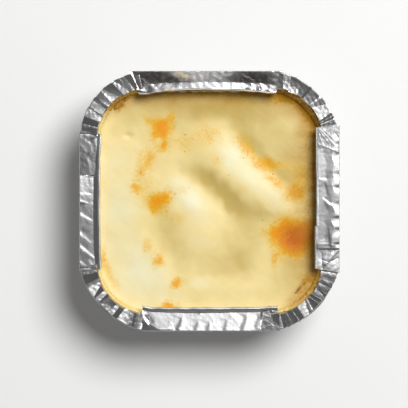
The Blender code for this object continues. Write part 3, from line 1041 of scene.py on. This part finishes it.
def outline_at(side, within, radius):
    """Points of the rounded square: `side` counts quarter turns from the east side, `within`
    runs from -1 to 1 between the middles of its two corners, at an even pace."""
    walk = within * (CORNER_CENTRE + radius * np.pi / 4)
    bend = np.clip((np.abs(walk) - CORNER_CENTRE) / radius, 0, np.pi / 4)
    out = CORNER_CENTRE + radius * np.cos(bend)
    aside = np.clip(walk, -CORNER_CENTRE, CORNER_CENTRE) + np.sign(walk) * radius * np.sin(bend)
    cosine, sine = np.cos(side * np.pi / 2), np.sin(side * np.pi / 2)
    return np.stack([out * cosine - aside * sine, out * sine + aside * cosine], -1)


def outward_from_square(plan):
    """Unit ways outwards from the centre square to points beyond it."""
    nearest = np.clip(plan, -CORNER_CENTRE, CORNER_CENTRE)
    away = plan - nearest
    return away / np.linalg.norm(away, axis=1, keepdims=True)


# Where the baked-on sauce is browned: middle, reach along and across, heading, strength.
TOASTED_PATCHES = (
    ((-38, 48), (10, 4), 30, 0.55),
    ((-43, 44), (5, 4), 45, 0.45),
    ((42, 44), (16, 5), -45, 0.75),
    ((50, 34), (8, 3), 90, 0.6),
    ((30, 51), (8, 3), 0, 0.6),
    ((45, -42), (16, 5), 45, 0.4),
    ((51, -30), (7, 3), 90, 0.35),
    ((-44, -44), (14, 4), -45, 0.22),
)


def residue_surface(corner_steps=190, side_steps=120, section_steps=12):
    """Sauce baked onto the foil just above the food: a thin lens against the wall, whose upper
    edge climbs and falls and whose face is lumpy."""
    starts, outwards, corner_share = square_path(corner_steps, side_steps)
    turn = np.linspace(0, 2 * np.pi, section_steps, endpoint=False)[:, None]
    walk = np.arange(len(starts))[None] / len(starts) * 2 * np.pi
    around_x, around_y = 55 * np.cos(walk), 55 * np.sin(walk)
    edge = starts + wall_radius(29.0) * outwards
    low = sauce_height(edge[:, 0], edge[:, 1])[None] - 0.5
    climb = 1.5 + 0.5 * ripples(around_x, around_y, 9, 31) + 0.3 * ripples(around_x, around_y, 3, 32)
    climb = climb + 3.2 * corner_share[None] ** 0.5
    climb = np.minimum(np.maximum(climb, 0.9), LEDGE_HEIGHT - 0.3 - low)
    height = low + climb * (1 + np.cos(turn)) / 2
    east_share = np.clip((edge[:, 0] + 0.4 * edge[:, 1]) / 55, 0, 1)[None]
    swell = 0.30 + (0.25 + 0.5 * east_share) * corner_share[None]
    swell = swell + 0.16 * ripples(around_x + height, around_y, 2.2, 33)
    thick = np.maximum(swell, 0.1) * np.clip(-np.sin(turn), 0, 1) * (1 - 0.8 * np.cos(turn))
    radius = wall_radius(height) - 0.12 - thick
    plan = starts[None] + radius[..., None] * outwards[None]
    points = np.concatenate([plan, height[..., None]], -1)
    faces = strip_faces(section_steps, len(starts), close_rows=True, close_columns=True)
    toast = stain_field(plan[..., 0], plan[..., 1], TOASTED_PATCHES, 0.8, 0.4, 34)
    return points.reshape(-1, 3), [faces[:, ::-1]], np.clip(toast, 0, 1)


def crust_surface(bits, columns=14, rows=9):
    """Browned bits: each an ellipsoid with a lumpy radius, sunk a little into the sauce."""
    angle = np.linspace(0, 2 * np.pi, columns, endpoint=False)[None]
    rise = np.linspace(-np.pi / 2, np.pi / 2, rows + 2)[1:-1, None]
    points, quads, caps = [], [], []
    for number, (place, size, heading) in enumerate(bits):
        lumps = 1 + 0.22 * ripples(np.cos(angle) * np.cos(rise) * 3, np.sin(angle) * 3 + rise, 2.6, 40 + number)
        body = np.stack([np.cos(angle) * np.cos(rise), np.sin(angle) * np.cos(rise), np.sin(rise) + 0 * angle], -1)
        body = np.concatenate([(body * lumps[..., None]).reshape(-1, 3), [[0, 0, -1], [0, 0, 1]]])
        body = body * size
        turn = math.radians(heading)
        east = body[:, 0] * math.cos(turn) - body[:, 1] * math.sin(turn) + place[0]
        north = body[:, 0] * math.sin(turn) + body[:, 1] * math.cos(turn) + place[1]
        ground = sauce_height(east, north)
        first = number * len(body)
        points.append(np.stack([east, north, ground + body[:, 2] + 0.15 * size[2]], -1))
        quads.append(first + strip_faces(rows, columns, close_columns=True))
        ring = first + np.arange(columns)
        caps.append(fan_faces(ring, first + rows * columns, turned=True))
        caps.append(fan_faces(ring + (rows - 1) * columns, first + rows * columns + 1))
    return np.concatenate(points), [np.concatenate(quads), np.concatenate(caps)]


# ---------------------------------------------------------------------------------------------
# Materials
# ---------------------------------------------------------------------------------------------


class Shader:
    """A small helper that lays out a material's nodes and links them."""

    def __init__(self, name):
        self.material = bpy.data.materials.new(name)
        self.material.use_nodes = True
        self.tree = self.material.node_tree
        self.surface = self.tree.nodes["Principled BSDF"]
        self.place = self.add("ShaderNodeTexCoord").outputs["Object"]

    def add(self, kind, **settings):
        node = self.tree.nodes.new(kind)
        for name, value in settings.items():
            setattr(node, name, value)
        return node

    def set(self, **values):
        for name, value in values.items():
            self.surface.inputs[name.replace("_", " ")].default_value = value

    def join(self, output, target):
        if isinstance(output, (int, float)):
            target.default_value = output
        elif isinstance(output, tuple):
            target.default_value = (*output, 1.0)[:4] if len(output) == 3 else output
        else:
            self.tree.links.new(output, target)

    def stretch(self, scale, place=None):
        """A place, Object coordinates unless given, scaled along each axis."""
        mapping = self.add("ShaderNodeMapping")
        mapping.inputs["Scale"].default_value = scale
        self.join(place or self.place, mapping.inputs["Vector"])
        return mapping.outputs["Vector"]

    def noise(self, size, detail=3.0, place=None, roughness=0.55, distortion=0.0):
        """Noise whose blotches are about `size` metres across."""
        node = self.add("ShaderNodeTexNoise")
        self.join(place or self.place, node.inputs["Vector"])
        node.inputs["Scale"].default_value = 1 / size
        node.inputs["Detail"].default_value = detail
        node.inputs["Roughness"].default_value = roughness
        node.inputs["Distortion"].default_value = distortion
        return node.outputs["Fac"]

    def between(self, value, low, high, new_low=0.0, new_high=1.0):
        """A value's range moved to another range and held inside it."""
        node = self.add("ShaderNodeMapRange")
        node.clamp = True
        self.join(value, node.inputs["Value"])
        for label, number in zip(("From Min", "From Max", "To Min", "To Max"), (low, high, new_low, new_high)):
            node.inputs[label].default_value = number
        return node.outputs["Result"]

    def sum(self, first, second, operation="ADD"):
        node = self.add("ShaderNodeMath", operation=operation)
        self.join(first, node.inputs[0])
        self.join(second, node.inputs[1])
        return node.outputs["Value"]

    def mix(self, share, first, second, blend_type="MIX"):
        node = self.add("ShaderNodeMix", data_type="RGBA", blend_type=blend_type)
        self.join(share, node.inputs["Factor"])
        self.join(first, node.inputs[6])
        self.join(second, node.inputs[7])
        return node.outputs[2]

    def attribute(self, name):
        return self.add("ShaderNodeAttribute", attribute_name=name).outputs["Fac"]

    def bump(self, height, distance, strength=1.0, under=None):
        node = self.add("ShaderNodeBump")
        node.inputs["Distance"].default_value = distance
        node.inputs["Strength"].default_value = strength
        self.join(height, node.inputs["Height"])
        if under is not None:
            self.join(under, node.inputs["Normal"])
        return node.outputs["Normal"]


def foil_material(name, color, film_and_reflection_color, dark_color, roughness, creased):
    """Bright rolled aluminium: fine crinkle in the bump, a roughness that varies in soft patches and, on the folded
    rim, creases that follow the sheet and a brown-yellow tint that is baked-on sauce in the corners and, on the
    flaps, partly sauce film and partly painted reflection of the food, with darker brown patches that are partly
    painted reflection too."""
    shader = Shader(name)
    patches = shader.noise(0.006, 3.0)
    crinkle = shader.noise(0.0012, 2.0, distortion=0.6)
    dull = shader.between(patches, 0.35, 0.7, roughness * 0.93, roughness * 1.12)
    tone = shader.mix(shader.between(patches, 0.3, 0.75), color, tuple(c * 0.88 for c in color))
    normal = shader.bump(crinkle, 0.00004, 0.4)
    if creased:
        sheet = shader.add("ShaderNodeAttribute", attribute_name="sheet").outputs["Vector"]
        across = shader.noise(1.4, 2.0, place=shader.stretch((1.0, 0.2, 1.0), sheet), distortion=0.6)
        along = shader.noise(1.4, 2.0, place=shader.stretch((0.2, 1.0, 1.0), sheet), distortion=0.6)
        normal = shader.bump(along, 0.00003, 0.5, shader.bump(across, 0.00003, 0.5, normal))
        # Darkened brown patches: partly stain, partly painted reflection.
        darkened = shader.between(shader.attribute("film_and_reflection"), 0.0, -1.0, 0.0, 0.85)
        tone = shader.mix(darkened, tone, dark_color)
        patchy = shader.between(shader.noise(0.0016, 4.0), 0.35, 0.6, 0.15, 1.0)
        film_and_reflection_tint = shader.sum(shader.attribute("film_and_reflection"), patchy, "MULTIPLY")
        tone = shader.mix(film_and_reflection_tint, tone, film_and_reflection_color)
        dull = shader.sum(dull, shader.sum(film_and_reflection_tint, 0.25, "MULTIPLY"))
        shader.join(shader.between(film_and_reflection_tint, 0, 1, 1.0, 0.35), shader.surface.inputs["Metallic"])
    else:
        shader.set(Metallic=1.0)
    shader.join(tone, shader.surface.inputs["Base Color"])
    shader.join(dull, shader.surface.inputs["Roughness"])
    shader.join(normal, shader.surface.inputs["Normal"])
    return shader.material


def sauce_material(settings):
    """Baked cheese sauce: painted highlight paler on its crests and painted shade deeper in its hollows, over random
    paler and deeper clouds, stained golden to orange to red by oil where the piece's attributes say so, golden brown
    as painted shade under the east and north rim and as a thin real browned edge elsewhere, with a soft oily shine."""
    shader = Shader("baked_sauce_skin")
    cloud = shader.noise(0.016, 4.0, distortion=0.4)
    grain = shader.noise(0.0014, 5.0, roughness=0.65)
    speckle = shader.noise(0.0006, 3.0)
    # Tone from the patches is painted shade below zero and painted highlight above zero; the clouds add random paler
    # and deeper tone.
    tone = shader.sum(shader.attribute("tone"), shader.between(cloud, 0.3, 0.7, -0.2, 0.2))
    base = shader.mix(shader.between(tone, -1, 0), tuple(settings.deep_and_shade_color), tuple(settings.sauce_color))
    base = shader.mix(shader.between(tone, 0, 1), base, tuple(settings.pale_and_highlight_color))
    ragged = shader.between(grain, 0.3, 0.7, 0.65, 1.3)
    drops = shader.between(speckle, 0.35, 0.65, 0.8, 1.2)
    orange = shader.sum(shader.attribute("orange"), shader.sum(ragged, drops, "MULTIPLY"), "MULTIPLY")
    base = shader.mix(shader.between(orange, 0.02, 0.5), base, tuple(settings.golden_color))
    base = shader.mix(shader.between(orange, 0.25, 0.95), base, tuple(settings.orange_color))
    halo = shader.between(shader.attribute("orange"), 0.04, 0.22, 0.0, 0.6)
    dots = shader.between(shader.noise(0.0009, 2.0), 0.57, 0.66)
    base = shader.mix(shader.sum(halo, dots, "MULTIPLY"), base, tuple(settings.orange_color))
    red = shader.sum(shader.attribute("red"), ragged, "MULTIPLY")
    base = shader.mix(shader.between(red, 0.12, 0.95), base, tuple(settings.red_color))
    # Brown mix: painted shade of the rim along the east and north walls, and a thin real browned edge elsewhere.
    browned_and_shade = shader.sum(shader.attribute("browned_and_shade"), shader.between(grain, 0.3, 0.7, 0.75, 1.15), "MULTIPLY")
    base = shader.mix(shader.between(browned_and_shade, 0.0, 0.88), base, tuple(settings.brown_and_shade_color))
    shader.join(base, shader.surface.inputs["Base Color"])
    shader.join(shader.between(grain, 0.3, 0.7, 0.4, 0.52), shader.surface.inputs["Roughness"])
    soft = shader.bump(cloud, 0.0006, 0.2)
    shader.join(shader.bump(grain, 0.0001, 0.35, soft), shader.surface.inputs["Normal"])
    shader.set(Subsurface_Weight=0.12, Subsurface_Radius=(1.0, 0.55, 0.2), Subsurface_Scale=0.0015)
    shader.set(Specular_IOR_Level=0.32, Coat_Weight=0.04, Coat_Roughness=0.3)
    return shader.material


def crust_material(name, color, dark_color, plain_color=None):
    """Baked-on sauce and browned bits: mottled from golden to dark, rough and pitted. With a
    plain colour given, the piece's own attribute says how far it is toasted."""
    shader = Shader(name)
    grain = shader.noise(0.0012, 5.0, roughness=0.7)
    if plain_color:
        toast = shader.sum(shader.attribute("toast"), shader.between(grain, 0.3, 0.7, 0.35, 1.6), "MULTIPLY")
        tone = shader.mix(shader.between(toast, 0.05, 0.4), plain_color, color)
        tone = shader.mix(shader.between(toast, 0.4, 1.0), tone, dark_color)
    else:
        tone = shader.mix(shader.between(grain, 0.25, 0.6), color, dark_color)
    shader.join(tone, shader.surface.inputs["Base Color"])
    shader.join(shader.between(grain, 0.3, 0.7, 0.35, 0.7), shader.surface.inputs["Roughness"])
    shader.join(shader.bump(grain, 0.0002, 0.8), shader.surface.inputs["Normal"])
    shader.set(Subsurface_Weight=0.1, Subsurface_Radius=(1.0, 0.5, 0.2), Subsurface_Scale=0.001)
    return shader.material


def floor_material(color):
    """A matt pale sheet with the faintest unevenness of tone."""
    shader = Shader("pale_floor")
    tone = shader.mix(shader.between(shader.noise(0.2, 2.0), 0.3, 0.7), color, tuple(c * 0.985 for c in color))
    shader.join(tone, shader.surface.inputs["Base Color"])
    shader.set(Roughness=0.85, Specular_IOR_Level=0.2)
    return shader.material


# ---------------------------------------------------------------------------------------------
# Settings
# ---------------------------------------------------------------------------------------------


def color_property(name, description, default):
    return bpy.props.FloatVectorProperty(
        name=name, description=description, default=default, subtype="COLOR", size=3, min=0, max=1
    )


class TRAYMEAL_PG_foil(bpy.types.PropertyGroup):
    thickness: bpy.props.FloatProperty(
        name="Thickness", description="Thickness of the foil", default=0.00012, precision=5,
        subtype="DISTANCE", unit="LENGTH",
    )
    roughness: bpy.props.FloatProperty(
        name="Roughness", description="How dull the foil is", default=0.33, subtype="FACTOR", min=0, max=1
    )
    color: color_property("Foil", "Colour of the bare foil", (0.54, 0.54, 0.545))
    # Film colour: sauce dried on the foil, and on the flaps also painted reflection of the food; darkened foil is
    # partly stain, partly painted reflection.
    film_and_reflection_color: color_property("Film", "Colour of sauce dried on the foil", (0.62, 0.44, 0.16))
    dark_color: color_property("Darkened foil", "Foil where it is stained brown", (0.22, 0.17, 0.125))
    crust_color: color_property("Crust", "Golden part of the baked-on crust", (0.68, 0.40, 0.06))
    dark_crust_color: color_property("Dark crust", "Browned part of the baked-on crust", (0.32, 0.14, 0.012))


class TRAYMEAL_PG_sauce(bpy.types.PropertyGroup):
    sauce_color: color_property("Sauce", "Main colour of the sauce", (0.875, 0.712, 0.322))
    # The pale and deep sauce colours are mostly painted highlight on the crests and painted shade in the hollows,
    # and also random cloudy tone.
    pale_and_highlight_color: color_property("Pale sauce", "Sauce on the crests", (0.845, 0.838, 0.61))
    deep_and_shade_color: color_property("Deep sauce", "Sauce in the hollows", (0.615, 0.455, 0.138))
    golden_color: color_property("Golden oil", "Faint part of the oily stains", (0.785, 0.49, 0.03))
    orange_color: color_property("Orange oil", "Strong part of the oily stains", (0.865, 0.32, 0.003))
    red_color: color_property("Red oil", "Colour of the deepest stain", (0.60, 0.13, 0.012))
    # Brown of the real browned edge, and of the painted shade under the east and north rim.
    brown_and_shade_color: color_property("Browned edge", "Colour of the sauce under the rim", (0.47, 0.225, 0.003))


class TRAYMEAL_PG_stage(bpy.types.PropertyGroup):
    camera_height: bpy.props.FloatProperty(
        name="Camera height", description="Height of the camera above the floor", default=1.0,
        subtype="DISTANCE", unit="LENGTH",
    )
    camera_aside: bpy.props.FloatVectorProperty(
        name="Camera aside", description="Camera's place east and north of the tray's middle",
        default=(-0.00253, -0.00138), size=2, precision=5, subtype="XYZ", unit="LENGTH",
    )
    lens: bpy.props.FloatProperty(
        name="Lens", description="Focal length in millimetres", default=185.0, min=1
    )
    key_power: bpy.props.FloatProperty(
        name="Key light", description="Power of the main soft light", default=42.0, subtype="POWER", unit="POWER"
    )
    key_size: bpy.props.FloatProperty(
        name="Key size", description="Width of the main soft light", default=1.12,
        subtype="DISTANCE", unit="LENGTH",
    )
    floor_color: color_property("Floor", "Colour of the floor", (0.90, 0.90, 0.895))


class TRAYMEAL_PG_settings(bpy.types.PropertyGroup):
    foil: bpy.props.PointerProperty(type=TRAYMEAL_PG_foil, name="Foil", description="Foil settings")
    sauce: bpy.props.PointerProperty(type=TRAYMEAL_PG_sauce, name="Sauce", description="Sauce settings")
    stage: bpy.props.PointerProperty(type=TRAYMEAL_PG_stage, name="Stage", description="Stage settings")


# ---------------------------------------------------------------------------------------------
# Operators
# ---------------------------------------------------------------------------------------------


class TRAYMEAL_OT_tray(bpy.types.Operator):
    """Add the pressed tray: base, gathered walls and ledge"""

    bl_idname = "traymeal.tray"
    bl_label = "Tray"

    def execute(self, context):
        settings = context.scene.tray_meal.foil
        points, faces = tray_surface(corner_steps=110, side_steps=70, section_steps=44, base_rings=16)
        metal = foil_material(
            "pressed_foil", tuple(settings.color), tuple(settings.film_and_reflection_color),
            tuple(settings.dark_color), settings.roughness, False,
        )
        tray = make_piece("pressed_tray", points, faces, metal)
        give_thickness(tray, settings.thickness)
        part_of_tray(tray, "foil_tray")
        return {"FINISHED"}


class TRAYMEAL_OT_rim(bpy.types.Operator):
    """Add the rim: four folded flaps with rolled beads and four pleated corners"""

    bl_idname = "traymeal.rim"
    bl_label = "Rim"

    def execute(self, context):
        settings = context.scene.tray_meal.foil
        metal = foil_material(
            "rim_foil", tuple(settings.color), tuple(settings.film_and_reflection_color),
            tuple(settings.dark_color), settings.roughness, True,
        )
        sheets = {f"flap_{side}": flap_surface(flap, 100 + 10 * i) for i, (side, flap) in enumerate(FLAPS.items())}
        for i, (corner, pleats) in enumerate(PLEATS.items()):
            sheets[f"pleats_{corner}"] = pleat_surface(corner, pleats, 200 + 10 * i)
        for name, (points, film_and_reflection, sheet) in sheets.items():
            faces = strip_faces(*points.shape[:2])[:, ::-1]
            sheet = make_piece(name, points.reshape(-1, 3), [faces], metal, {"film_and_reflection": film_and_reflection, "sheet": sheet})
            sheet.data.set_sharp_from_angle(angle=math.radians(28))
            give_thickness(sheet, settings.thickness)
            part_of_tray(sheet)
        return {"FINISHED"}


class TRAYMEAL_OT_food(bpy.types.Operator):
    """Add the baked sauce that fills the tray"""

    bl_idname = "traymeal.food"
    bl_label = "Food"

    def execute(self, context):
        points, faces = food_surface()
        x, y = points[:, 0], points[:, 1]
        attributes = {
            "orange": stain_field(x, y, ORANGE_STAINS, 0.7, 0.3, 52),
            "red": stain_field(x, y, RED_STAINS, 0.6, 0.3, 56),
            # Painted highlight and shade patches.
            "tone": stain_field(x, y, LIGHT_AND_SHADE_PATCHES, 0.6, 0.0, 60),
            # Painted rim shade with the real browned edge, plus browned blots.
            "browned_and_shade": browned_and_shade_field(x, y) + stain_field(x, y, BROWN_AND_SHADE_PATCHES, 0.4, 0.5, 64),
        }
        skin = sauce_material(context.scene.tray_meal.sauce)
        food = make_piece("baked_sauce_top", points, faces, skin, attributes)
        part_of_tray(food, "baked_sauce_dish")
        return {"FINISHED"}


class TRAYMEAL_OT_crust(bpy.types.Operator):
    """Add the sauce baked onto the wall and the browned bits"""

    bl_idname = "traymeal.crust"
    bl_label = "Crust"

    def execute(self, context):
        settings = context.scene.tray_meal.foil
        golden, dark = tuple(settings.crust_color), tuple(settings.dark_crust_color)
        points, faces, toast = residue_surface()
        toasted = crust_material("baked_on_sauce", golden, dark, tuple(context.scene.tray_meal.sauce.sauce_color))
        residue = make_piece("baked_on_sauce", points, faces, toasted, {"toast": toast})
        part_of_tray(residue)
        points, faces = crust_surface(CRUST_BITS)
        bits = make_piece("browned_bits", points, faces, crust_material("browned_bits", golden, dark))
        part_of_tray(bits)
        return {"FINISHED"}


class TRAYMEAL_OT_stage(bpy.types.Operator):
    """Add the pale floor, the soft light and the camera overhead"""

    bl_idname = "traymeal.stage"
    bl_label = "Stage"

    def execute(self, context):
        settings = context.scene.tray_meal.stage
        half = 3000.0
        corners = np.array([[-half, -half, 0], [half, -half, 0], [half, half, 0], [-half, half, 0]], float)
        floor = make_piece("floor", corners, [np.array([[0, 1, 2, 3]])], floor_material(tuple(settings.floor_color)))
        add_soft_light("key", azimuth=43.5, elevation=57.4, distance=2.0, size=settings.key_size, power=settings.key_power)
        make_world(context.scene)
        camera = bpy.data.cameras.new("overhead")
        camera.lens = settings.lens
        camera.sensor_width = 36.0
        camera.clip_start = 0.01
        overhead = bpy.data.objects.new("overhead", camera)
        overhead.location = (*settings.camera_aside, settings.camera_height)
        context.scene.collection.objects.link(overhead)
        context.scene.camera = overhead
        context.scene.view_settings.view_transform = "Standard"
        return {"FINISHED"}


def add_soft_light(name, azimuth, elevation, distance, size, power):
    """A round area light that faces the tray from a compass azimuth east of north and a height."""
    light = bpy.data.lights.new(name, "AREA")
    light.shape = "DISK"
    light.size = size
    light.energy = power
    lamp = bpy.data.objects.new(name, light)
    east, up = math.radians(azimuth), math.radians(elevation)
    lamp.location = (
        distance * math.cos(up) * math.sin(east),
        distance * math.cos(up) * math.cos(east),
        distance * math.sin(up),
    )
    lamp.rotation_euler = (math.pi / 2 - up, 0, math.pi - east)
    bpy.context.scene.collection.objects.link(lamp)
    return lamp


def make_world(scene):
    """A dim room: darkest overhead and brighter low down."""
    world = bpy.data.worlds.new("soft_room")
    world.use_nodes = True
    tree = world.node_tree
    place = tree.nodes.new("ShaderNodeTexCoord").outputs["Generated"]
    split = tree.nodes.new("ShaderNodeSeparateXYZ")
    tree.links.new(place, split.inputs[0])
    ramp = tree.nodes.new("ShaderNodeValToRGB")
    ramp.color_ramp.elements[0].position = 0.0
    ramp.color_ramp.elements[0].color = (0.60, 0.595, 0.585, 1)
    ramp.color_ramp.elements[1].position = 1.0
    ramp.color_ramp.elements[1].color = (0.075, 0.074, 0.071, 1)
    for height, color in ((0.3, (0.36, 0.356, 0.35, 1)), (0.55, (0.20, 0.198, 0.193, 1)), (0.75, (0.115, 0.113, 0.11, 1))):
        ramp.color_ramp.elements.new(height).color = color
    tree.links.new(split.outputs["Z"], ramp.inputs["Fac"])
    tree.links.new(ramp.outputs["Color"], tree.nodes["Background"].inputs["Color"])
    tree.nodes["Background"].inputs["Strength"].default_value = 1.0
    scene.world = world


class TRAYMEAL_PT_sidebar(bpy.types.Panel):
    """Lists the steps that build the tray meal, with their settings"""

    bl_idname = "TRAYMEAL_PT_sidebar"
    bl_label = "Tray Meal"
    bl_space_type = "VIEW_3D"
    bl_region_type = "UI"
    bl_category = "Tray Meal"

    def draw(self, context):
        for operator in STEPS:
            self.layout.operator(operator.bl_idname)
        for group in ("foil", "sauce", "stage"):
            settings = getattr(context.scene.tray_meal, group)
            for name in settings.__annotations__:
                self.layout.prop(settings, name)


STEPS = (TRAYMEAL_OT_tray, TRAYMEAL_OT_rim, TRAYMEAL_OT_food, TRAYMEAL_OT_crust, TRAYMEAL_OT_stage)
CLASSES = (
    TRAYMEAL_PG_foil,
    TRAYMEAL_PG_sauce,
    TRAYMEAL_PG_stage,
    TRAYMEAL_PG_settings,
    *STEPS,
    TRAYMEAL_PT_sidebar,
)


def register():
    for cls in CLASSES:
        bpy.utils.register_class(cls)
    bpy.types.Scene.tray_meal = bpy.props.PointerProperty(type=TRAYMEAL_PG_settings)


def unregister():
    del bpy.types.Scene.tray_meal
    for cls in reversed(CLASSES):
        bpy.utils.unregister_class(cls)


def main():
    register()
    bpy.ops.traymeal.tray()
    bpy.ops.traymeal.rim()
    bpy.ops.traymeal.food()
    bpy.ops.traymeal.crust()
    bpy.ops.traymeal.stage()
    bpy.context.view_layer.update()


if __name__ == "__main__":
    main()
